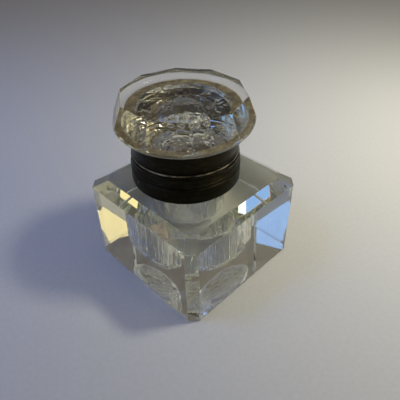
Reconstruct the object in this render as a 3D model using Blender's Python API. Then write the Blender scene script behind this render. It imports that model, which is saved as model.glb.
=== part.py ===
"""Square cut-glass inkwell with a hinged brass collar and a faceted glass lid.

Metres, +Z up.  The origin is the middle of the block's underside, and the block's
sides are square to X and Y.  The neck stands a little to -X of the block's middle,
and the lid swings back over the +Y side on a small three-knuckle hinge.
"""
import math

import bmesh
import bpy
from mathutils import Matrix, Vector

MM = 0.001
GAP = 0.3 * MM                     # kept between two pieces that touch

# Block
BLOCK_WIDTH = 50.0 * MM
BLOCK_HEIGHT = 33.0 * MM
BEVEL_RUN = 4.1 * MM               # top bevel, measured across
BEVEL_DROP = 2.8 * MM              # top bevel, measured down
CORNER_CUT = 2.7 * MM              # each upright corner is cut back by this much
FOOT_CUT = 0.5 * MM                # fine chamfer round the underside
AXIS_X = -3.0 * MM                 # neck, collar and lid are turned round this upright line

# Neck and well
NECK_RADIUS = 14.8 * MM
NECK_TOP = 42.5 * MM
NECK_ROOT = 30.0 * MM              # the neck starts inside the block
WELL_RADIUS = 12.9 * MM
WELL_FLOOR = 6.5 * MM
WELL_ROUND = 4.0 * MM              # radius between the well's wall and floor

# Collar
SPLIT = 44.05 * MM                 # half way between the collar's two halves
COLLAR_BORE = 16.1 * MM
COLLAR_RADIUS = 17.2 * MM
COLLAR_FOOT = BLOCK_HEIGHT + 2.0 * GAP
COLLAR_HEAD = 50.6 * MM
FLANGE_RADIUS = 17.8 * MM
FLANGE_TOP = 38.6 * MM
EDGE_CUT = 0.3 * MM
GROOVE_DEPTH = 0.3 * MM
GROOVE_HALF = 0.2 * MM
RIDGE_RADIUS = 0.5 * MM
COVE_RADIUS = 1.35 * MM
COVE_FLOOR = 17.0 * MM             # the cove's smallest radius from the axis
COVE_HEIGHT = 41.4 * MM
BEAD_RADIUS = 0.65 * MM
RIM_BORE = 13.0 * MM
RIM_SHEET = 0.7 * MM               # thickness of the rim's metal
RIM_HEAD = 45.2 * MM

# Lid
GIRDLE_RADIUS = 21.9 * MM
GIRDLE_HEIGHT = 54.5 * MM
BELLY_RADIUS = 3.6 * MM            # roundness of the lid's underside
SHOULDER_RADIUS = 20.6 * MM        # the uncut lid's size at its top
TABLE_INRADIUS = 18.4 * MM
LID_TOP = 61.5 * MM
FACETS = 10
FACET_SLOPE = 0.385                # how far a facet spreads for each unit it drops
STUB_RADIUS = 14.6 * MM
STUB_FOOT = 45.9 * MM
RECESS_RADIUS = 10.0 * MM
RECESS_DEPTH = 3.8 * MM

# Hinge
HINGE_Y = 19.0 * MM
KNUCKLE_RADIUS = 1.25 * MM
KNUCKLE_LENGTH = 3.0 * MM
KNUCKLE_GAP = 0.2 * MM
PIN_RADIUS = 0.6 * MM
PIN_CLEARANCE = 0.1 * MM
PIN_HEAD_RADIUS = 0.95 * MM
PIN_HEAD_LENGTH = 0.5 * MM
LEAF_SHEET = 0.8 * MM              # thickness of the leaves
LEAF_FOOT = 36.0 * MM
LEAF_HEAD = 49.6 * MM
LEAF_TO_KNUCKLE = KNUCKLE_RADIUS + GAP
TAB_OVERLAP = 2.5 * MM             # how far a tab runs down into its leaf

ROUND_STEPS = 56
SMALL_STEPS = 20


# ---------------------------------------------------------------- helpers

def clear_scene():
    for obj in list(bpy.data.objects):
        bpy.data.objects.remove(obj, do_unlink=True)


def make_material(name, colour, roughness, metallic=0.0, transmission=0.0):
    material = bpy.data.materials.new(name)
    material.use_nodes = True
    shader = material.node_tree.nodes["Principled BSDF"]
    shader.inputs["Base Color"].default_value = (*colour, 1.0)
    shader.inputs["Roughness"].default_value = roughness
    shader.inputs["Metallic"].default_value = metallic
    shader.inputs["Transmission Weight"].default_value = transmission
    return material


def clear_glass(name):
    return make_material(name, (0.93, 0.95, 0.92), 0.02, transmission=1.0)


def aged_brass(name):
    return make_material(name, (0.16, 0.13, 0.07), 0.38, metallic=1.0)


def old_plaster(name):
    return make_material(name, (0.62, 0.58, 0.48), 0.9)


def make_object(name, bm, location, material=None):
    """Turn a bmesh into an object with its faces pointing out and its round parts smooth."""
    bmesh.ops.remove_doubles(bm, verts=bm.verts, dist=1e-7)
    bmesh.ops.recalc_face_normals(bm, faces=bm.faces)
    mesh = bpy.data.meshes.new(name)
    bm.to_mesh(mesh)
    bm.free()
    mesh.shade_smooth()
    mesh.set_sharp_from_angle(angle=math.radians(30.0))
    obj = bpy.data.objects.new(name, mesh)
    obj.location = location
    bpy.context.collection.objects.link(obj)
    if material is not None:
        mesh.materials.append(material)
    return obj


def boolean(target, other, operation):
    """Join, cut or intersect the target with a helper shape, which is hidden."""
    other.hide_render = True
    other.display_type = "WIRE"
    modifier = target.modifiers.new(operation.title(), "BOOLEAN")
    modifier.operation = operation
    modifier.solver = "EXACT"
    modifier.object = other


def arc(centre, radius, start, end, steps):
    """Points of an arc in the (radius, height) plane. Angles in degrees, 0 pointing outwards."""
    points = []
    for step in range(steps + 1):
        angle = math.radians(start + (end - start) * step / steps)
        points.append((centre[0] + radius * math.cos(angle), centre[1] + radius * math.sin(angle)))
    return points


def turn(name, outline, material=None, hollow=True):
    """Turn (radius, height) points round the collar's axis. A hollow outline is a closed loop."""
    bm = bmesh.new()
    verts = [bm.verts.new((radius, 0.0, height)) for radius, height in outline]
    ends = verts[1:] + verts[:1] if hollow else verts[1:]
    edges = [bm.edges.new(pair) for pair in zip(verts, ends)]
    bmesh.ops.spin(bm, geom=verts + edges, cent=(0.0, 0.0, 0.0), axis=(0.0, 0.0, 1.0),
                   angle=2.0 * math.pi, steps=ROUND_STEPS, use_merge=True)
    return make_object(name, bm, (AXIS_X, 0.0, 0.0), material)


def loft(name, rings, location, material=None):
    """Join rings of equally many points, listed from the bottom up, into a closed solid."""
    bm = bmesh.new()
    loops = [[bm.verts.new(point) for point in ring] for ring in rings]
    for lower, upper in zip(loops, loops[1:]):
        for index in range(len(lower)):
            bm.faces.new((lower[index - 1], lower[index], upper[index], upper[index - 1]))
    bm.faces.new(loops[0])
    bm.faces.new(loops[-1])
    return make_object(name, bm, location, material)


def rod(name, radius, length, x, material=None):
    """A plain rod along the hinge's axis, with its middle at x from the collar's axis."""
    bm = bmesh.new()
    along_x = Matrix.Rotation(math.radians(90.0), 4, "Y")
    bmesh.ops.create_cone(bm, cap_ends=True, segments=SMALL_STEPS, radius1=radius, radius2=radius,
                          depth=length, matrix=along_x)
    return make_object(name, bm, (AXIS_X + x, HINGE_Y, SPLIT), material)


def curved_plate(name, inner_radius, x_range, z_range, material=None):
    """A strip of sheet bent round the collar, over a range of x and of height."""
    outer_radius = inner_radius + LEAF_SHEET
    steps = 8
    xs = [x_range[0] + (x_range[1] - x_range[0]) * step / steps for step in range(steps + 1)]
    inner = [(x, math.sqrt(inner_radius ** 2 - x ** 2)) for x in xs]
    outer = [(x, math.sqrt(outer_radius ** 2 - x ** 2)) for x in reversed(xs)]
    rings = [[(x, y, z) for x, y in inner + outer] for z in z_range]
    return loft(name, rings, (AXIS_X, 0.0, 0.0), material)


# ---------------------------------------------------------------- glass block

def cut_square(half, cut, height):
    """A square ring with its corners cut off."""
    inner = half - cut
    return [(half, -inner, height), (half, inner, height), (inner, half, height), (-inner, half, height),
            (-half, inner, height), (-half, -inner, height), (-inner, -half, height), (inner, -half, height)]


def build_glass_block(glass):
    half = BLOCK_WIDTH / 2.0
    rings = [cut_square(half - FOOT_CUT, CORNER_CUT, 0.0),
             cut_square(half, CORNER_CUT, FOOT_CUT),
             cut_square(half, CORNER_CUT, BLOCK_HEIGHT - BEVEL_DROP),
             cut_square(half - BEVEL_RUN, CORNER_CUT, BLOCK_HEIGHT)]
    block = loft("glass_block", rings, (0.0, 0.0, 0.0), glass)

    neck = turn("neck_shape", [(0.0, NECK_ROOT), (NECK_RADIUS, NECK_ROOT), (NECK_RADIUS, NECK_TOP - EDGE_CUT),
                               (NECK_RADIUS - EDGE_CUT, NECK_TOP), (0.0, NECK_TOP)], hollow=False)
    floor_round = arc((WELL_RADIUS - WELL_ROUND, WELL_FLOOR + WELL_ROUND), WELL_ROUND, -90.0, 0.0, 6)
    above_neck = NECK_TOP + 1.0 * MM
    well = turn("well_cutter", [(0.0, WELL_FLOOR), *floor_round, (WELL_RADIUS, above_neck), (0.0, above_neck)],
                hollow=False)
    boolean(block, neck, "UNION")
    boolean(block, well, "DIFFERENCE")
    return block


# ---------------------------------------------------------------- collar

def build_neck_cement(plaster):
    inner = NECK_RADIUS + GAP
    outer = COLLAR_BORE - GAP
    foot = BLOCK_HEIGHT + GAP
    return turn("neck_cement", [(inner, foot), (outer, foot), (outer, NECK_TOP), (inner, NECK_TOP)], plaster)


def build_lower_collar(brass):
    head = SPLIT - GAP / 2.0
    groove = FLANGE_TOP + GROOVE_HALF
    ridge = (FLANGE_RADIUS - RIDGE_RADIUS, groove + GROOVE_HALF + RIDGE_RADIUS)
    cove = (COVE_FLOOR + COVE_RADIUS, COVE_HEIGHT)
    bead = (COLLAR_RADIUS - BEAD_RADIUS, head - BEAD_RADIUS)
    outline = [(COLLAR_BORE, COLLAR_FOOT),
               (FLANGE_RADIUS - EDGE_CUT, COLLAR_FOOT),
               (FLANGE_RADIUS, COLLAR_FOOT + EDGE_CUT),
               (FLANGE_RADIUS, FLANGE_TOP),
               (FLANGE_RADIUS - GROOVE_DEPTH, groove),
               *arc(ridge, RIDGE_RADIUS, -60.0, 60.0, 5),
               *arc(cove, COVE_RADIUS, 225.0, 135.0, 6),
               *arc(bead, BEAD_RADIUS, -50.0, 90.0, 6),
               (COLLAR_BORE, head)]
    return turn("lower_collar", outline, brass)


def build_mouth_rim(brass):
    """The ring that lines the neck's mouth and stands up inside the lid's half of the collar."""
    outer = COLLAR_BORE - GAP
    foot = NECK_TOP + GAP
    outline = [(RIM_BORE, foot), (outer, foot), (outer, RIM_HEAD), (outer - RIM_SHEET, RIM_HEAD),
               (outer - RIM_SHEET, foot + RIM_SHEET), (RIM_BORE, foot + RIM_SHEET)]
    return turn("mouth_rim", outline, brass)


def build_upper_collar(brass):
    foot = SPLIT + GAP / 2.0
    groove = foot + 0.9 * MM
    outline = [(COLLAR_BORE, foot),
               (COLLAR_RADIUS - EDGE_CUT, foot),
               (COLLAR_RADIUS, foot + EDGE_CUT),
               (COLLAR_RADIUS, groove - GROOVE_HALF),
               (COLLAR_RADIUS - GROOVE_DEPTH, groove),
               (COLLAR_RADIUS, groove + GROOVE_HALF),
               (COLLAR_RADIUS, COLLAR_HEAD - EDGE_CUT),
               (COLLAR_RADIUS - EDGE_CUT, COLLAR_HEAD),
               (COLLAR_BORE, COLLAR_HEAD)]
    return turn("upper_collar", outline, brass)


def build_lid_cement(plaster):
    inner = STUB_RADIUS + GAP
    outer = COLLAR_BORE - GAP
    foot = STUB_FOOT + GAP
    head = COLLAR_HEAD - GAP
    return turn("lid_cement", [(inner, foot), (outer, foot), (outer, head), (inner, head)], plaster)


# ---------------------------------------------------------------- lid

def decagon(inradius, height):
    """A ring of the lid's facets, with one corner towards +X."""
    corner = inradius / math.cos(math.pi / FACETS)
    angles = [2.0 * math.pi * index / FACETS for index in range(FACETS)]
    return [(corner * math.cos(angle), corner * math.sin(angle), height) for angle in angles]


def build_glass_lid(glass):
    """A turned button with a stub below and a hollow in the stub, cut to flat facets above."""
    seat = COLLAR_HEAD + GAP
    dome_radius = (RECESS_RADIUS ** 2 + RECESS_DEPTH ** 2) / (2.0 * RECESS_DEPTH)
    dome_centre = (0.0, STUB_FOOT + RECESS_DEPTH - dome_radius)
    dome_edge = math.degrees(math.acos(RECESS_RADIUS / dome_radius))
    belly_centre = (GIRDLE_RADIUS - BELLY_RADIUS, seat + BELLY_RADIUS)
    above_lid = LID_TOP + 1.0 * MM
    outline = [*arc(dome_centre, dome_radius, 90.0, dome_edge, 7),
               (STUB_RADIUS - EDGE_CUT, STUB_FOOT),
               (STUB_RADIUS, STUB_FOOT + EDGE_CUT),
               (STUB_RADIUS, seat),
               *arc(belly_centre, BELLY_RADIUS, -90.0, 0.0, 8),
               (SHOULDER_RADIUS, above_lid),
               (0.0, above_lid)]
    lid = turn("glass_lid", outline, glass, hollow=False)

    below_lid = STUB_FOOT - 1.0 * MM
    spread = FACET_SLOPE * (LID_TOP - below_lid)
    facets = loft("facet_cutter", [decagon(TABLE_INRADIUS + spread, below_lid), decagon(TABLE_INRADIUS, LID_TOP)],
                  (AXIS_X, 0.0, 0.0))
    boolean(lid, facets, "INTERSECT")
    return lid


# ---------------------------------------------------------------- hinge

KNUCKLE_PITCH = KNUCKLE_LENGTH + KNUCKLE_GAP
LEAF_HALF = KNUCKLE_PITCH + KNUCKLE_LENGTH / 2.0


def build_leaf(name, brass, radius, z_range, tab_z_range, knuckles):
    """A leaf bent round the collar, with a tab and a bored knuckle at each place in knuckles."""
    leaf = curved_plate(name, radius, (-LEAF_HALF, LEAF_HALF), z_range, brass)
    half = KNUCKLE_LENGTH / 2.0
    for number, x in enumerate(knuckles):
        tab = curved_plate(f"{name}_tab_{number}", radius, (x - half, x + half), tab_z_range)
        knuckle = rod(f"{name}_knuckle_{number}", KNUCKLE_RADIUS, KNUCKLE_LENGTH, x)
        boolean(leaf, tab, "UNION")
        boolean(leaf, knuckle, "UNION")
    bore = rod(f"{name}_bore", PIN_RADIUS + PIN_CLEARANCE, 4.0 * LEAF_HALF, 0.0)
    boolean(leaf, bore, "DIFFERENCE")
    return leaf


def build_hinge_leaf_lower(brass):
    head = SPLIT - LEAF_TO_KNUCKLE
    tab = (head - TAB_OVERLAP, SPLIT - 0.6 * KNUCKLE_RADIUS)
    return build_leaf("hinge_leaf_lower", brass, FLANGE_RADIUS + GAP, (LEAF_FOOT, head), tab,
                      (-KNUCKLE_PITCH, KNUCKLE_PITCH))


def build_hinge_leaf_upper(brass):
    foot = SPLIT + LEAF_TO_KNUCKLE
    tab = (SPLIT + 0.5 * KNUCKLE_RADIUS, foot + TAB_OVERLAP)
    return build_leaf("hinge_leaf_upper", brass, COLLAR_RADIUS + GAP, (foot, LEAF_HEAD), tab, (0.0,))


def build_hinge_pin(brass):
    shank_half = LEAF_HALF + KNUCKLE_GAP
    pin = rod("hinge_pin", PIN_RADIUS, 2.0 * shank_half + PIN_HEAD_LENGTH, 0.0, brass)
    for side in (-1, 1):
        head = rod(f"pin_head_{side}", PIN_HEAD_RADIUS, PIN_HEAD_LENGTH, side * (shank_half + PIN_HEAD_LENGTH / 2.0))
        boolean(pin, head, "UNION")
    return pin


# ---------------------------------------------------------------- assembly

def hang_on_hinge(pieces):
    """Parent the lid's pieces to an empty on the hinge's axis, where they turn about X."""
    hinge = bpy.data.objects.new("lid_hinge", None)
    hinge.location = Vector((AXIS_X, HINGE_Y, SPLIT))
    bpy.context.collection.objects.link(hinge)
    for piece in pieces:
        piece.parent = hinge
        piece.location -= hinge.location


def main():
    clear_scene()
    build_glass_block(clear_glass("block_glass"))
    build_neck_cement(old_plaster("neck_plaster"))
    build_lower_collar(aged_brass("lower_collar_brass"))
    build_mouth_rim(aged_brass("mouth_rim_brass"))
    build_hinge_leaf_lower(aged_brass("lower_leaf_brass"))
    build_hinge_pin(aged_brass("pin_brass"))
    hang_on_hinge([build_upper_collar(aged_brass("upper_collar_brass")),
                   build_lid_cement(old_plaster("lid_plaster")),
                   build_glass_lid(clear_glass("lid_glass")),
                   build_hinge_leaf_upper(aged_brass("upper_leaf_brass"))])


main()
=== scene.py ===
"""Looks of the cut-glass inkwell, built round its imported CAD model. Metres, +Z up."""
import math

import bmesh
import bpy
from mathutils import Matrix, Vector


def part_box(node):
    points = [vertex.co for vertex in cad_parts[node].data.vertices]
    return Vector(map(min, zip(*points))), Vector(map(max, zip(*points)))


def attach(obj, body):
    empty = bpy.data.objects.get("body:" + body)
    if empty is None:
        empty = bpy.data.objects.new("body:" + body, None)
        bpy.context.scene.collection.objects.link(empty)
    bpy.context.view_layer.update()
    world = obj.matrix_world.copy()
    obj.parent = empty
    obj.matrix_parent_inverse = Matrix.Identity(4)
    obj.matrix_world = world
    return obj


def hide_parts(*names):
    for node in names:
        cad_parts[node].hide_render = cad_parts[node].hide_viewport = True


MM = 0.001
GAP = 0.3 * MM                     # the CAD model's gap between pieces that touch
FLANGE_TO_NECK = 3.0 * MM          # from the outside of the collar's flange in to the neck

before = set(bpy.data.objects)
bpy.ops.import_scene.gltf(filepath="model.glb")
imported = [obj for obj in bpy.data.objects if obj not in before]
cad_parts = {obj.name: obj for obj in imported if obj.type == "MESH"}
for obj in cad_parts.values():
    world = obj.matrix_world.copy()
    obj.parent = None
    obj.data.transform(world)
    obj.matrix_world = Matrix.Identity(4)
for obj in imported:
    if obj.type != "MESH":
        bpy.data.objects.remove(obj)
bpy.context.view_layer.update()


# ---------------------------------------------------------------- sizes, from the frame

_, block_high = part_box("glass_block")
cement_low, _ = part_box("neck_cement")
lower_low, lower_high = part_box("lower_collar")
upper_low, upper_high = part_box("upper_collar")
rim_low, rim_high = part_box("mouth_rim")
lid_low, lid_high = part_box("glass_lid")
pin_low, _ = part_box("hinge_pin")

AXIS_X = (lower_low.x + lower_high.x) / 2.0
BLOCK_HALF = block_high.x
BLOCK_HEIGHT = cement_low.z - GAP
NECK_TOP = block_high.z
NECK_RADIUS = lower_high.y - FLANGE_TO_NECK
LID_TOP = lid_high.z
STUB_FOOT = lid_low.z
SEAT = upper_high.z + GAP
GIRDLE_RADIUS = lid_high.x - AXIS_X

# Sizes of the block that its box doesn't give
BEVEL_RUN = 4.1 * MM
BEVEL_DROP = 2.8 * MM
CORNER_CUT = 2.7 * MM
FOOT_CUT = 0.5 * MM
EDGE_ROUND = 0.12 * MM             # how far polishing has rounded the cut edges
WELL_RADIUS = 12.9 * MM
WELL_FLOOR = 6.5 * MM
WELL_ROUND = 4.0 * MM
WELL_RINGS = 12                    # rings that let the well's wall be wavy
WELL_RING_STEP = 2.4 * MM
NECK_SUNK = 3.0 * MM               # how far the neck's own solid starts inside the block
NECK_SHOULDER = 0.8 * MM
NECK_RINGS = 6
NECK_RING_STEP = 2.0 * MM
OVERSHOOT = 1.0 * MM               # how far a cutting solid passes what it cuts

# Sizes of the lid that its box doesn't give
BELLY_RADIUS = 3.6 * MM
SHOULDER_RADIUS = 20.6 * MM
TABLE_INRADIUS = 18.4 * MM
FACETS = 10
FACET_SLOPE = 0.385
STUB_RADIUS = 14.6 * MM
STUB_EDGE = 0.5 * MM
RECESS_RADIUS = 10.0 * MM
RECESS_DEPTH = 3.8 * MM

# Bubbles in the lid: two round ones side by side and then two flat ones, at even steps round its axis
BUBBLE_RADIUS = 1.1 * MM
BUBBLE_FLATNESS = (1.0, 1.0, 0.3, 0.3)
BUBBLE_REACH = 0.65 * GIRDLE_RADIUS
BUBBLE_DEPTH = 3.0 * MM            # below the table
BUBBLE_BEARING = math.radians(-20.0)
BUBBLE_STEP = math.radians(-12.0)

# The collar's mouldings
COLLAR_BORE = 16.1 * MM
EDGE_ROLL = 0.3 * MM
FLANGE_TOP = 38.6 * MM
GROOVE_DEPTH = 0.3 * MM
GROOVE_HALF = 0.2 * MM
RIDGE_RADIUS = 0.5 * MM
COVE_RADIUS = 1.35 * MM
COVE_FLOOR = 17.0 * MM
COVE_HEIGHT = 41.4 * MM
BEAD_RADIUS = 0.65 * MM
RIM_SHEET = 0.7 * MM
RIM_BORE = 13.0 * MM
RIM_FILLET = 0.3 * MM
UPPER_GROOVE = 0.9 * MM            # above the upper collar's foot
BEAD_SHINE = 0.6 * MM              # below the lower collar's top, where its bead is rubbed
PUNCHES = 4
PUNCH_ANGLE = math.radians(-53.0)
PUNCH_SPACING = 0.85 * MM
PUNCH_HEIGHT = 46.3 * MM
PUNCH_PROUD = 0.12 * MM
PUNCH_SIZE = (0.30 * MM, 0.30 * MM, 0.42 * MM)

# Cement
CONTACT = 0.03 * MM                # how far cement is sunk into the glass that it wets
CEMENT_SHORT = 0.6 * MM            # how far cement stops short of the end of the neck or stub
BED_INSET = 0.7 * MM               # from the start of the belly in to the edge of the bed
BED_CLEAR = 0.02 * MM              # between the bed and the collar
BED_BACK = 0.1 * MM                # the bed's foot stands back this far from the collar's outside
BED_EDGE_RUN = 0.15 * MM
BED_EDGE_DROP = 0.1 * MM

# Floor and camera
FLOOR_HALF = 1.5
FLOOR_GAP = 0.05 * MM              # the film of air under the polished block
CAMERA_AZIMUTH = math.radians(45.65)
CAMERA_ELEVATION = math.radians(38.9)
CAMERA_ROLL = math.radians(-1.12)
CAMERA_DISTANCE = 157.9 * MM
CAMERA_TARGET = Vector((-5.2, 8.3, 15.0)) * MM
CAMERA_LENS = 37.8
CAMERA_SENSOR = 36.0
CAMERA_NEAR = 0.005

# Lights: sizes and colours
PANEL_SIZE = 0.28
STRIP_WIDTH = 0.03
SPARKLE_HEIGHT = 0.34
SPARKLE_PLACES = ((0.08, -0.13), (-0.10, 0.08), (0.02, 0.02))
WARM_WHITE = (1.0, 0.97, 0.80)
SPARKLE_WHITE = (1.0, 0.97, 0.88)
WARM = (1.0, 0.84, 0.42)
COOL = (0.20, 0.44, 1.0)
DEEP_BLUE = (0.12, 0.30, 1.0)
YELLOW = (1.0, 0.85, 0.35)
AMBER = (1.0, 0.36, 0.06)

# Materials
LEAD_GLASS_IOR = 1.54
GLASS_RIPPLE_STRENGTH = 0.8
GLASS_RIPPLE_DEPTH = 0.45 * MM
WELL_MASK_WIDER = 0.4 * MM         # the rippled side's bounds, past the well's radius
WELL_MASK_TALLER = 0.3 * MM        # and past its ends
PRESSED_MASK_SHORT = 0.2 * MM      # how far the lid's rippled side stops below the seat
MIX_FACTOR, MIX_FIRST, MIX_SECOND, MIX_RESULT = 0, 6, 7, 2     # a Mix node's sockets for colour

ROUND_STEPS = 144
CUT_FACE_AREA = 2.0 * MM * MM
POLISHED_RIPPLE = 0.002            # of the depth of an unpolished side's ripple


# ---------------------------------------------------------------- mesh helpers

def make_object(name, bm, material, sharp_angle=12.0):
    bmesh.ops.remove_doubles(bm, verts=bm.verts, dist=1e-7)
    bmesh.ops.recalc_face_normals(bm, faces=bm.faces)
    mesh = bpy.data.meshes.new(name)
    bm.to_mesh(mesh)
    bm.free()
    mesh.shade_smooth()
    mesh.set_sharp_from_angle(angle=math.radians(sharp_angle))
    obj = bpy.data.objects.new(name, mesh)
    bpy.context.scene.collection.objects.link(obj)
    mesh.materials.append(material)
    return obj


def apply_modifiers(obj, sharp_angle=12.0):
    """Replace an object's mesh by what its modifiers make of it."""
    bpy.context.view_layer.update()
    evaluated = obj.evaluated_get(bpy.context.evaluated_depsgraph_get())
    mesh = bpy.data.meshes.new_from_object(evaluated)
    obj.modifiers.clear()
    obj.data = mesh
    mesh.shade_smooth()
    mesh.set_sharp_from_angle(angle=math.radians(sharp_angle))


def flatten_cut_faces(obj):
    """Cut and polished faces are truly flat. They are far larger than any facet of a turned surface."""
    for polygon in obj.data.polygons:
        if polygon.area > CUT_FACE_AREA:
            polygon.use_smooth = False


def boolean(target, other, operation):
    """Join, cut or intersect the target with a helper object, which is used up."""
    modifier = target.modifiers.new(operation.title(), "BOOLEAN")
    modifier.operation = operation
    modifier.solver = "EXACT"
    modifier.object = other
    apply_modifiers(target)
    bpy.data.objects.remove(other)


def arc(centre, radius, start, end, steps):
    """Points of an arc in the (radius, height) plane. Angles in degrees, 0 pointing outwards."""
    points = []
    for step in range(steps + 1):
        angle = math.radians(start + (end - start) * step / steps)
        points.append((centre[0] + radius * math.cos(angle), centre[1] + radius * math.sin(angle)))
    return points


def turn(name, outline, material, hollow=True, wobble=None):
    """Turn (radius, height) points round the collar's axis. A hollow outline is a closed loop.

    wobble(angle, radius, height) gives a small change of radius, as hand work leaves.
    """
    bm = bmesh.new()
    rings = []
    for radius, height in outline:
        if radius < 1e-9:
            rings.append([bm.verts.new((AXIS_X, 0.0, height))] * ROUND_STEPS)
            continue
        ring = []
        for step in range(ROUND_STEPS):
            angle = 2.0 * math.pi * step / ROUND_STEPS
            reach = radius + (wobble(angle, radius, height) if wobble else 0.0)
            ring.append(bm.verts.new((AXIS_X + reach * math.cos(angle), reach * math.sin(angle), height)))
        rings.append(ring)
    followers = rings[1:] + rings[:1] if hollow else rings[1:]
    for ring, follower in zip(rings, followers):
        for index in range(ROUND_STEPS):
            corners = [ring[index - 1], ring[index], follower[index], follower[index - 1]]
            bm.faces.new(list(dict.fromkeys(corners)))
    return make_object(name, bm, material)


def loft(name, rings, material, edge_round):
    """Join rings of equally many points into a closed solid and round its edges a little."""
    bm = bmesh.new()
    loops = [[bm.verts.new(point) for point in ring] for ring in rings]
    for lower, upper in zip(loops, loops[1:]):
        for index in range(len(lower)):
            bm.faces.new((lower[index - 1], lower[index], upper[index], upper[index - 1]))
    bm.faces.new(loops[0])
    bm.faces.new(loops[-1])
    bmesh.ops.bevel(bm, geom=bm.edges[:], offset=edge_round, offset_type="OFFSET", segments=2,
                    profile=0.5, affect="EDGES", clamp_overlap=True)
    return make_object(name, bm, material)


# ---------------------------------------------------------------- materials

def new_material(name):
    material = bpy.data.materials.new(name)
    material.use_nodes = True
    nodes = material.node_tree.nodes
    return material, nodes, material.node_tree.links, nodes["Principled BSDF"]


def noise_node(nodes, links, scale, detail=6.0, roughness=0.6, stretch=(1.0, 1.0, 1.0)):
    """Noise in object space, at `scale` features per metre, stretched along the axes."""
    place = nodes.new("ShaderNodeTexCoord")
    mapping = nodes.new("ShaderNodeMapping")
    mapping.inputs["Scale"].default_value = stretch
    texture = nodes.new("ShaderNodeTexNoise")
    texture.inputs["Scale"].default_value = scale
    texture.inputs["Detail"].default_value = detail
    texture.inputs["Roughness"].default_value = roughness
    links.new(place.outputs["Object"], mapping.inputs["Vector"])
    links.new(mapping.outputs["Vector"], texture.inputs["Vector"])
    return texture


def ramp_node(nodes, links, source, stops):
    """A colour ramp on a value. stops are (position, colour)."""
    ramp = nodes.new("ShaderNodeValToRGB")
    elements = ramp.color_ramp.elements
    while len(elements) < len(stops):
        elements.new(0.5)
    for element, (position, colour) in zip(elements, stops):
        element.position = position
        element.color = (*colour, 1.0)
    links.new(source, ramp.inputs["Fac"])
    return ramp


def grey(value):
    return (value, value, value)


def add_bump(nodes, links, shader, source, strength, distance):
    bump = nodes.new("ShaderNodeBump")
    bump.inputs["Strength"].default_value = strength
    bump.inputs["Distance"].default_value = distance
    links.new(source, bump.inputs["Height"])
    links.new(bump.outputs["Normal"], shader.inputs["Normal"])


def inside_mask(nodes, links, axes, centre, limit):
    """1 within `limit` of the centre, measured along the given axes only, and 0 outside."""
    place = nodes.new("ShaderNodeTexCoord")
    kept = nodes.new("ShaderNodeVectorMath")
    kept.operation = "MULTIPLY"
    kept.inputs[1].default_value = axes
    distance = nodes.new("ShaderNodeVectorMath")
    distance.operation = "DISTANCE"
    distance.inputs[1].default_value = centre
    inside = nodes.new("ShaderNodeMath")
    inside.operation = "LESS_THAN"
    inside.inputs[1].default_value = limit
    links.new(place.outputs["Object"], kept.inputs[0])
    links.new(kept.outputs["Vector"], distance.inputs[0])
    links.new(distance.outputs["Value"], inside.inputs[0])
    return inside


def glass_material(name, tint, density, rough_side, streak_scale, streak_stretch):
    """Old lead glass, faintly tinted: polished faces with a film of smears, and one side left rippled.

    rough_side lists the (axes, centre, limit) of the inside_mask that bound the side never polished.
    """
    material, nodes, links, shader = new_material(name)
    shader.inputs["Base Color"].default_value = (1.0, 1.0, 1.0, 1.0)
    shader.inputs["Transmission Weight"].default_value = 1.0
    shader.inputs["IOR"].default_value = LEAD_GLASS_IOR
    smears = noise_node(nodes, links, 90.0, stretch=(1.0, 1.0, 0.4))
    film = ramp_node(nodes, links, smears.outputs["Fac"],
                     [(0.50, grey(0.0)), (0.70, grey(0.02)), (0.85, grey(0.05))])
    links.new(film.outputs["Color"], shader.inputs["Roughness"])
    ripple = noise_node(nodes, links, 260.0, detail=2.0)
    streaks = noise_node(nodes, links, streak_scale, detail=2.0, stretch=streak_stretch)
    ridges = ramp_node(nodes, links, streaks.outputs["Fac"], [(0.46, grey(0.0)), (0.66, grey(1.0))])
    rippled = ridges.outputs["Color"]
    for bound in rough_side:
        uneven = nodes.new("ShaderNodeMath")
        uneven.operation = "MULTIPLY"
        links.new(rippled, uneven.inputs[0])
        links.new(inside_mask(nodes, links, *bound).outputs["Value"], uneven.inputs[1])
        rippled = uneven.outputs["Value"]
    height = nodes.new("ShaderNodeMath")
    height.operation = "MULTIPLY_ADD"
    height.inputs[1].default_value = POLISHED_RIPPLE
    links.new(ripple.outputs["Fac"], height.inputs[0])
    links.new(rippled, height.inputs[2])
    add_bump(nodes, links, shader, height.outputs["Value"], GLASS_RIPPLE_STRENGTH, GLASS_RIPPLE_DEPTH)
    absorption = nodes.new("ShaderNodeVolumeAbsorption")
    absorption.inputs["Color"].default_value = (*tint, 1.0)
    absorption.inputs["Density"].default_value = density
    links.new(absorption.outputs["Volume"], nodes["Material Output"].inputs["Volume"])
    return material


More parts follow.
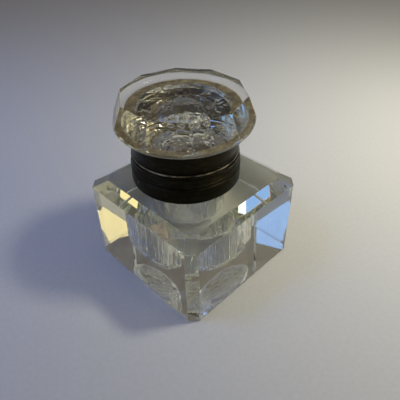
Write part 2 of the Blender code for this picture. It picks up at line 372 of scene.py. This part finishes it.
def rubbed_bands(nodes, links, heights, half_width):
    """1 where a moulding stands proud and is rubbed bright, fading to 0 within half_width of it."""
    place = nodes.new("ShaderNodeTexCoord")
    parts = nodes.new("ShaderNodeSeparateXYZ")
    links.new(place.outputs["Object"], parts.inputs["Vector"])
    total = None
    for height in heights:
        offset = nodes.new("ShaderNodeMath")
        offset.operation = "SUBTRACT"
        offset.inputs[1].default_value = height
        distance = nodes.new("ShaderNodeMath")
        distance.operation = "ABSOLUTE"
        band = nodes.new("ShaderNodeMapRange")
        band.inputs["From Max"].default_value = half_width
        band.inputs["To Min"].default_value = 1.0
        band.inputs["To Max"].default_value = 0.0
        links.new(parts.outputs["Z"], offset.inputs[0])
        links.new(offset.outputs["Value"], distance.inputs[0])
        links.new(distance.outputs["Value"], band.inputs["Value"])
        if total is None:
            total = band.outputs["Result"]
            continue
        both = nodes.new("ShaderNodeMath")
        both.operation = "MAXIMUM"
        links.new(total, both.inputs[0])
        links.new(band.outputs["Result"], both.inputs[1])
        total = both.outputs["Value"]
    return total


def brass_material(name, patina, metal, rubbed_heights):
    """Old brass: a dark, slightly glossy patina, and bright metal along the mouldings that hands rub."""
    material, nodes, links, shader = new_material(name)
    shader.inputs["Metallic"].default_value = 0.9
    mottling = noise_node(nodes, links, 380.0, detail=8.0, roughness=0.65, stretch=(1.0, 1.0, 2.5))
    old = ramp_node(nodes, links, mottling.outputs["Fac"],
                    [(0.30, patina), (0.55, [1.8 * c for c in patina]), (0.78, [4.0 * c for c in patina])])
    patches = noise_node(nodes, links, 160.0, detail=5.0)
    chance = ramp_node(nodes, links, patches.outputs["Fac"], [(0.42, grey(0.08)), (0.58, grey(1.0))])
    rubbed = nodes.new("ShaderNodeMath")
    rubbed.operation = "MULTIPLY"
    links.new(rubbed_bands(nodes, links, rubbed_heights, 0.35 * MM), rubbed.inputs[0])
    links.new(chance.outputs["Color"], rubbed.inputs[1])
    colour = nodes.new("ShaderNodeMix")
    colour.data_type = "RGBA"
    colour.inputs[MIX_SECOND].default_value = (*metal, 1.0)
    links.new(rubbed.outputs["Value"], colour.inputs[MIX_FACTOR])
    links.new(old.outputs["Color"], colour.inputs[MIX_FIRST])
    links.new(colour.outputs[MIX_RESULT], shader.inputs["Base Color"])
    polish = noise_node(nodes, links, 900.0, detail=4.0)
    roughness = ramp_node(nodes, links, polish.outputs["Fac"], [(0.3, grey(0.26)), (0.7, grey(0.46))])
    links.new(roughness.outputs["Color"], shader.inputs["Roughness"])
    turning = noise_node(nodes, links, 260.0, detail=6.0, roughness=0.7, stretch=(1.0, 1.0, 9.0))
    add_bump(nodes, links, shader, turning.outputs["Fac"], 0.45, 0.06 * MM)
    return material


def plaster_material(name):
    material, nodes, links, shader = new_material(name)
    shader.inputs["Roughness"].default_value = 0.9
    grain = noise_node(nodes, links, 450.0, detail=9.0, roughness=0.7)
    colour = ramp_node(nodes, links, grain.outputs["Fac"],
                       [(0.34, (0.22, 0.16, 0.07)), (0.66, (0.66, 0.55, 0.31))])
    links.new(colour.outputs["Color"], shader.inputs["Base Color"])
    add_bump(nodes, links, shader, grain.outputs["Fac"], 0.5, 0.1 * MM)
    return material


def paper_material(name):
    material, nodes, links, shader = new_material(name)
    shader.inputs["Roughness"].default_value = 0.85
    fibre = noise_node(nodes, links, 700.0)
    colour = ramp_node(nodes, links, fibre.outputs["Fac"],
                       [(0.3, (0.72, 0.72, 0.71)), (0.7, (0.77, 0.77, 0.76))])
    links.new(colour.outputs["Color"], shader.inputs["Base Color"])
    add_bump(nodes, links, shader, fibre.outputs["Fac"], 0.15, 0.1 * MM)
    return material


well_middle = (WELL_FLOOR + NECK_TOP) / 2.0
well_side = [((1.0, 1.0, 0.0), (AXIS_X, 0.0, 0.0), WELL_RADIUS + WELL_MASK_WIDER),
             ((0.0, 0.0, 1.0), (0.0, 0.0, well_middle), NECK_TOP - well_middle + WELL_MASK_TALLER)]
pressed_side = [((0.0, 0.0, 1.0), (0.0, 0.0, STUB_FOOT), SEAT - STUB_FOOT - PRESSED_MASK_SHORT)]
block_glass = glass_material("block_glass", (0.86, 0.88, 0.50), 6.0, well_side, 520.0, (1.0, 1.0, 0.14))
lid_glass = glass_material("lid_glass", (0.86, 0.83, 0.50), 12.0, pressed_side, 190.0, (1.0, 1.0, 1.0))
collar_brass = brass_material("collar_brass", (0.011, 0.009, 0.004), (0.62, 0.54, 0.36),
                              [lower_high.z - BEAD_SHINE])
rim_brass = brass_material("rim_brass", (0.15, 0.115, 0.05), (0.62, 0.50, 0.27), [rim_high.z])
hinge_brass = brass_material("hinge_brass", (0.03, 0.024, 0.013), (0.55, 0.44, 0.24), [pin_low.z])
plaster = plaster_material("plaster")


# ---------------------------------------------------------------- block

def cut_square(half, cut, height):
    inner = half - cut
    return [(half, -inner, height), (half, inner, height), (inner, half, height), (-inner, half, height),
            (-half, inner, height), (-half, -inner, height), (-inner, -half, height), (inner, -half, height)]


def well_wobble(angle, radius, height):
    """The well's wall was ground and polished by hand, so it runs in faint upright flutes."""
    flutes = math.sin(7.0 * angle + 0.6) + 0.7 * math.sin(13.0 * angle + 2.1) + 0.4 * math.sin(23.0 * angle)
    rings = math.sin(height / MM * 0.9 + 2.0 * math.sin(angle))
    return (0.045 * flutes + 0.025 * rings) * MM


def build_block():
    rings = [cut_square(BLOCK_HALF - FOOT_CUT, CORNER_CUT, 0.0),
             cut_square(BLOCK_HALF, CORNER_CUT, FOOT_CUT),
             cut_square(BLOCK_HALF, CORNER_CUT, BLOCK_HEIGHT - BEVEL_DROP),
             cut_square(BLOCK_HALF - BEVEL_RUN, CORNER_CUT, BLOCK_HEIGHT)]
    block = loft("block", rings, block_glass, EDGE_ROUND)
    neck_foot = BLOCK_HEIGHT - NECK_SUNK
    lip = (NECK_RADIUS - NECK_SHOULDER, NECK_TOP - NECK_SHOULDER)
    neck = turn("neck", [(0.0, neck_foot),
                         *[(NECK_RADIUS, neck_foot + step * NECK_RING_STEP) for step in range(NECK_RINGS)],
                         *arc(lip, NECK_SHOULDER, 0.0, 90.0, 8),
                         (0.0, NECK_TOP)], block_glass, hollow=False)
    boolean(block, neck, "UNION")
    wall_foot = WELL_FLOOR + WELL_ROUND
    above_neck = NECK_TOP + OVERSHOOT
    outline = [(0.0, WELL_FLOOR),
               *arc((WELL_RADIUS - WELL_ROUND, wall_foot), WELL_ROUND, -90.0, 0.0, 12),
               *[(WELL_RADIUS, wall_foot + step * WELL_RING_STEP) for step in range(1, WELL_RINGS + 1)],
               (WELL_RADIUS, above_neck),
               (0.0, above_neck)]
    well = turn("well", outline, block_glass, hollow=False, wobble=well_wobble)
    boolean(block, well, "DIFFERENCE")
    flatten_cut_faces(block)
    return block


# ---------------------------------------------------------------- lid

def decagon(inradius, height):
    corner = inradius / math.cos(math.pi / FACETS)
    angles = [2.0 * math.pi * index / FACETS for index in range(FACETS)]
    return [(AXIS_X + corner * math.cos(angle), corner * math.sin(angle), height) for angle in angles]


def pressed_wobble(angle, radius, height):
    """The lid's hidden underside was left as pressed: squarish and rippled. Its belly is polished."""
    if radius > STUB_RADIUS + 0.01 * MM or height > SEAT + 0.01 * MM:
        return 0.0
    inward = max(0.0, 1.0 - (radius / RECESS_RADIUS) ** 2)
    squareness = 0.35 * math.cos(4.0 * (angle - math.radians(45.0)))
    ripple = 0.10 * math.sin(9.0 * angle + 1.0) + 0.07 * math.sin(17.0 * angle + 4.0 * radius / MM)
    if radius > RECESS_RADIUS:
        return 0.25 * ripple * MM - 0.1 * MM
    return (squareness + ripple) * MM * math.sqrt(inward) * radius / RECESS_RADIUS


def add_bubbles(lid):
    """Seeds: small bubbles of air that were caught in the glass when the lid was pressed."""
    bm = bmesh.new()
    bm.from_mesh(lid.data)
    for index, flatness in enumerate(BUBBLE_FLATNESS):
        around = Matrix.Rotation(BUBBLE_BEARING + index * BUBBLE_STEP, 3, "Z")
        centre = around @ Vector((BUBBLE_REACH, 0.0, 0.0)) + Vector((AXIS_X, 0.0, LID_TOP - BUBBLE_DEPTH))
        radii = Vector((BUBBLE_RADIUS, BUBBLE_RADIUS, BUBBLE_RADIUS * flatness))
        place = Matrix.LocRotScale(centre, None, radii)
        made = bmesh.ops.create_icosphere(bm, subdivisions=4, radius=1.0, matrix=place)
        faces = list({face for vert in made["verts"] for face in vert.link_faces})
        bmesh.ops.reverse_faces(bm, faces=faces)
        for face in faces:
            face.smooth = True
    bm.to_mesh(lid.data)
    bm.free()


def build_lid():
    dome_radius = (RECESS_RADIUS ** 2 + RECESS_DEPTH ** 2) / (2.0 * RECESS_DEPTH)
    dome_centre = (0.0, STUB_FOOT + RECESS_DEPTH - dome_radius)
    dome_edge = math.degrees(math.acos(RECESS_RADIUS / dome_radius))
    dome = arc(dome_centre, dome_radius, 90.0, dome_edge, 16)
    dome[0] = (0.0, dome[0][1])
    belly_centre = (GIRDLE_RADIUS - BELLY_RADIUS, SEAT + BELLY_RADIUS)
    above_lid = LID_TOP + OVERSHOOT
    outline = [*dome,
               *arc((STUB_RADIUS - STUB_EDGE, STUB_FOOT + STUB_EDGE), STUB_EDGE, -90.0, 0.0, 8),
               (STUB_RADIUS, SEAT),
               *arc(belly_centre, BELLY_RADIUS, -90.0, 0.0, 14),
               (SHOULDER_RADIUS, above_lid),
               (0.0, above_lid)]
    lid = turn("lid", outline, lid_glass, hollow=False, wobble=pressed_wobble)
    below_lid = STUB_FOOT - OVERSHOOT
    spread = FACET_SLOPE * (LID_TOP - below_lid)
    facets = loft("facets", [decagon(TABLE_INRADIUS + spread, below_lid), decagon(TABLE_INRADIUS, LID_TOP)],
                  lid_glass, EDGE_ROUND)
    boolean(lid, facets, "INTERSECT")
    flatten_cut_faces(lid)
    add_bubbles(lid)
    return lid


# ---------------------------------------------------------------- collar

def hand_wobble(angle, radius, height):
    """A spun ring that has been handled for a century is a little out of round."""
    ovality = 0.045 * math.sin(2.0 * angle + 0.8)
    dents = 0.020 * math.sin(5.0 * angle + 900.0 * height) + 0.012 * math.sin(11.0 * angle + 2.0)
    return (ovality + dents) * MM


def build_lower_collar():
    foot, head = lower_low.z, lower_high.z
    flange = lower_high.y
    groove = FLANGE_TOP + GROOVE_HALF
    ridge = (flange - RIDGE_RADIUS, groove + GROOVE_HALF + RIDGE_RADIUS)
    cove = (COVE_FLOOR + COVE_RADIUS, COVE_HEIGHT)
    bead = (upper_high.y - BEAD_RADIUS, head - BEAD_RADIUS)
    inner_roll = (COLLAR_BORE + EDGE_ROLL, head - EDGE_ROLL)
    outline = [(COLLAR_BORE, foot),
               *arc((flange - EDGE_ROLL, foot + EDGE_ROLL), EDGE_ROLL, -90.0, 0.0, 5),
               (flange, FLANGE_TOP - 0.1 * MM),
               (flange - 0.1 * MM, FLANGE_TOP),
               (flange - GROOVE_DEPTH, groove - 0.05 * MM),
               (flange - GROOVE_DEPTH, groove + 0.05 * MM),
               *arc(ridge, RIDGE_RADIUS, -60.0, 60.0, 10),
               *arc(cove, COVE_RADIUS, 225.0, 135.0, 12),
               *arc(bead, BEAD_RADIUS, -50.0, 90.0, 12),
               *arc(inner_roll, EDGE_ROLL, 90.0, 180.0, 4)]
    return turn("collar_lower", outline, collar_brass, wobble=hand_wobble)


def build_upper_collar():
    foot, head = upper_low.z, upper_high.z
    outer = upper_high.y
    groove = foot + UPPER_GROOVE
    outline = [*arc((COLLAR_BORE + EDGE_ROLL, foot + EDGE_ROLL), EDGE_ROLL, 180.0, 270.0, 4),
               *arc((outer - EDGE_ROLL, foot + EDGE_ROLL), EDGE_ROLL, -90.0, 0.0, 5),
               (outer, groove - GROOVE_HALF),
               (outer - 0.5 * GROOVE_DEPTH, groove - 0.4 * GROOVE_HALF),
               (outer - 0.5 * GROOVE_DEPTH, groove + 0.4 * GROOVE_HALF),
               (outer, groove + GROOVE_HALF),
               *arc((outer - EDGE_ROLL, head - EDGE_ROLL), EDGE_ROLL, 0.0, 90.0, 5),
               (COLLAR_BORE, head)]
    collar = turn("collar_upper", outline, collar_brass, wobble=hand_wobble)
    boolean(collar, punches(outer), "DIFFERENCE")
    return collar


def punches(radius):
    """Cutters for four tiny blank punch marks, struck side by side into the front of the collar."""
    bm = bmesh.new()
    for index in range(PUNCHES):
        angle = PUNCH_ANGLE + (index - (PUNCHES - 1) / 2.0) * PUNCH_SPACING / radius
        across = Matrix.Rotation(angle, 4, "Z") @ Vector((radius + PUNCH_PROUD, 0.0, 0.0))
        place = Matrix.LocRotScale(across + Vector((AXIS_X, 0.0, PUNCH_HEIGHT)),
                                   Matrix.Rotation(angle, 3, "Z").to_quaternion(), Vector(PUNCH_SIZE))
        bmesh.ops.create_icosphere(bm, subdivisions=2, radius=1.0, matrix=place)
    return make_object("punches", bm, collar_brass)


def build_mouth_rim():
    outer = rim_high.y
    foot, head = rim_low.z, rim_high.z
    roll = RIM_SHEET / 2.0
    outline = [*arc((RIM_BORE + roll, foot + roll), roll, 90.0, 270.0, 8),
               (outer, foot),
               *arc((outer - roll, head - roll), roll, 0.0, 180.0, 8),
               (outer - RIM_SHEET, foot + RIM_SHEET + RIM_FILLET),
               (outer - RIM_SHEET - RIM_FILLET, foot + RIM_SHEET)]
    return turn("rim", outline, rim_brass, wobble=hand_wobble)


# ---------------------------------------------------------------- cement, wetting the glass

def build_neck_cement():
    inner, outer = NECK_RADIUS - CONTACT, COLLAR_BORE - GAP / 2.0
    foot, head = BLOCK_HEIGHT + GAP / 2.0, NECK_TOP - CEMENT_SHORT
    return turn("cement_neck", [(inner, foot), (outer, foot), (outer, head), (inner, head)], plaster)


def build_lid_cement():
    """Fills the ring round the lid's stub and beds the lid's flat underside on the collar."""
    inner, outer = STUB_RADIUS - CONTACT, COLLAR_BORE - GAP / 2.0
    foot = STUB_FOOT + CEMENT_SHORT
    bed = SEAT + CONTACT
    bed_edge = GIRDLE_RADIUS - BELLY_RADIUS - BED_INSET
    under_bed = upper_high.z + BED_CLEAR
    return turn("cement_lid", [(inner, foot), (outer, foot), (outer, under_bed),
                               (upper_high.y - BED_BACK, under_bed),
                               (bed_edge - BED_EDGE_RUN, bed - BED_EDGE_DROP),
                               (bed_edge, bed), (inner, bed)], plaster)


# ---------------------------------------------------------------- assembly

def install(piece, body, node):
    """Attach a piece to the body that carries it, and hide the CAD node that it stands for."""
    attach(piece, body)
    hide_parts(node)


install(build_block(), "base", "glass_block")
install(build_neck_cement(), "base", "neck_cement")
install(build_lower_collar(), "base", "lower_collar")
install(build_mouth_rim(), "base", "mouth_rim")
install(build_lid(), "lid", "glass_lid")
install(build_lid_cement(), "lid", "lid_cement")
install(build_upper_collar(), "lid", "upper_collar")

for hinge_node in ("hinge_leaf_lower", "hinge_leaf_upper", "hinge_pin"):
    hinge_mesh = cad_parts[hinge_node].data
    hinge_mesh.materials.clear()
    hinge_mesh.materials.append(hinge_brass)


# ---------------------------------------------------------------- floor, lights and camera

def build_floor():
    bm = bmesh.new()
    bmesh.ops.create_grid(bm, x_segments=1, y_segments=1, size=FLOOR_HALF)
    floor = make_object("floor", bm, paper_material("paper"))
    floor.location.z = -FLOOR_GAP


def build_camera():
    back = Vector((math.sin(CAMERA_AZIMUTH) * math.cos(CAMERA_ELEVATION),
                   -math.cos(CAMERA_AZIMUTH) * math.cos(CAMERA_ELEVATION),
                   math.sin(CAMERA_ELEVATION)))
    data = bpy.data.cameras.new("camera")
    data.lens = CAMERA_LENS
    data.sensor_width = CAMERA_SENSOR
    data.clip_start = CAMERA_NEAR
    camera = bpy.data.objects.new("camera", data)
    camera.rotation_mode = "QUATERNION"
    roll = Matrix.Rotation(CAMERA_ROLL, 4, "Z")
    turned_to = (-back).to_track_quat("-Z", "Y").to_matrix().to_4x4() @ roll
    camera.location = CAMERA_TARGET + CAMERA_DISTANCE * back
    camera.rotation_quaternion = turned_to.to_quaternion()
    bpy.context.scene.collection.objects.link(camera)
    bpy.context.scene.camera = camera


def camera_right(distance):
    """A step to the camera's right, level with the floor."""
    return Vector((math.cos(CAMERA_AZIMUTH), math.sin(CAMERA_AZIMUTH), 0.0)) * distance


def camera_away(distance):
    """A level step away from the camera."""
    return Vector((-math.sin(CAMERA_AZIMUTH), math.cos(CAMERA_AZIMUTH), 0.0)) * distance


def from_camera(right, away, up):
    """A place given by steps to the camera's right, away from it and up, from the foot of the block."""
    return camera_right(right) + camera_away(away) + Vector((0.0, 0.0, up))


def add_area_light(name, size, place, target, power, colour, spread=180.0, width=None):
    light = bpy.data.lights.new(name, "AREA")
    light.size = size
    if width:
        light.shape = "RECTANGLE"
        light.size, light.size_y = width, size
    light.energy = power
    light.color = colour
    light.spread = math.radians(spread)
    obj = bpy.data.objects.new(name, light)
    obj.location = place
    obj.rotation_euler = (target - place).to_track_quat("-Z", "Y").to_euler()
    bpy.context.scene.collection.objects.link(obj)


def build_lights():
    """Warm light from the camera's right and cool light from its left, over a pale horizon.

    The key is a small warm lamp and cool_pool tints the floor on the left. The panels and strips
    are what the block's sides and bevels reflect, and the sparkles put glints on the glass.
    """
    middle = from_camera(0.0, 0.0, 0.02)
    add_area_light("key", 0.045, from_camera(0.15, 0.0, 0.26), from_camera(0.15, 0.11, 0.0), 0.27,
                   WARM_WHITE, spread=120.0)
    add_area_light("cool_pool", 0.10, from_camera(-0.22, -0.02, 0.42), from_camera(-0.16, 0.03, 0.0), 0.10,
                   DEEP_BLUE, spread=90.0)
    add_area_light("warm_panel", PANEL_SIZE, from_camera(0.48, -0.21, 0.32), middle, 0.26, WARM)
    add_area_light("cool_panel", PANEL_SIZE, from_camera(-0.42, -0.16, 0.28), middle, 0.24, COOL)
    add_area_light("yellow_strip", PANEL_SIZE, from_camera(-0.472, -0.008, 0.28), middle, 0.025, YELLOW,
                   width=STRIP_WIDTH)
    add_area_light("amber_strip", PANEL_SIZE, from_camera(-0.483, 0.025, 0.28), middle, 0.025, AMBER,
                   width=STRIP_WIDTH)
    for index, (right, away) in enumerate(SPARKLE_PLACES):
        add_area_light(f"sparkle_{index}", 0.012, from_camera(right, away, SPARKLE_HEIGHT), middle, 0.014,
                       SPARKLE_WHITE)
    world = bpy.data.worlds.new("world")
    world.use_nodes = True
    nodes, links = world.node_tree.nodes, world.node_tree.links
    direction = nodes.new("ShaderNodeTexCoord")
    parts = nodes.new("ShaderNodeSeparateXYZ")
    links.new(direction.outputs["Generated"], parts.inputs["Vector"])
    sky = ramp_node(nodes, links, parts.outputs["Z"],
                    [(0.0, (0.33, 0.34, 0.36)), (0.14, (0.30, 0.31, 0.33)), (0.38, (0.075, 0.085, 0.115)),
                     (0.80, (0.132, 0.110, 0.085))])
    links.new(sky.outputs["Color"], nodes["Background"].inputs["Color"])
    bpy.context.scene.world = world


def allow_long_light_paths():
    """Light turns back many times inside cut glass before it leaves."""
    cycles = bpy.context.scene.cycles
    cycles.max_bounces = 32
    cycles.glossy_bounces = 32
    cycles.transmission_bounces = 32
    cycles.diffuse_bounces = 6


build_floor()
build_camera()
build_lights()
allow_long_light_paths()
bpy.context.scene.view_settings.view_transform = "Standard"
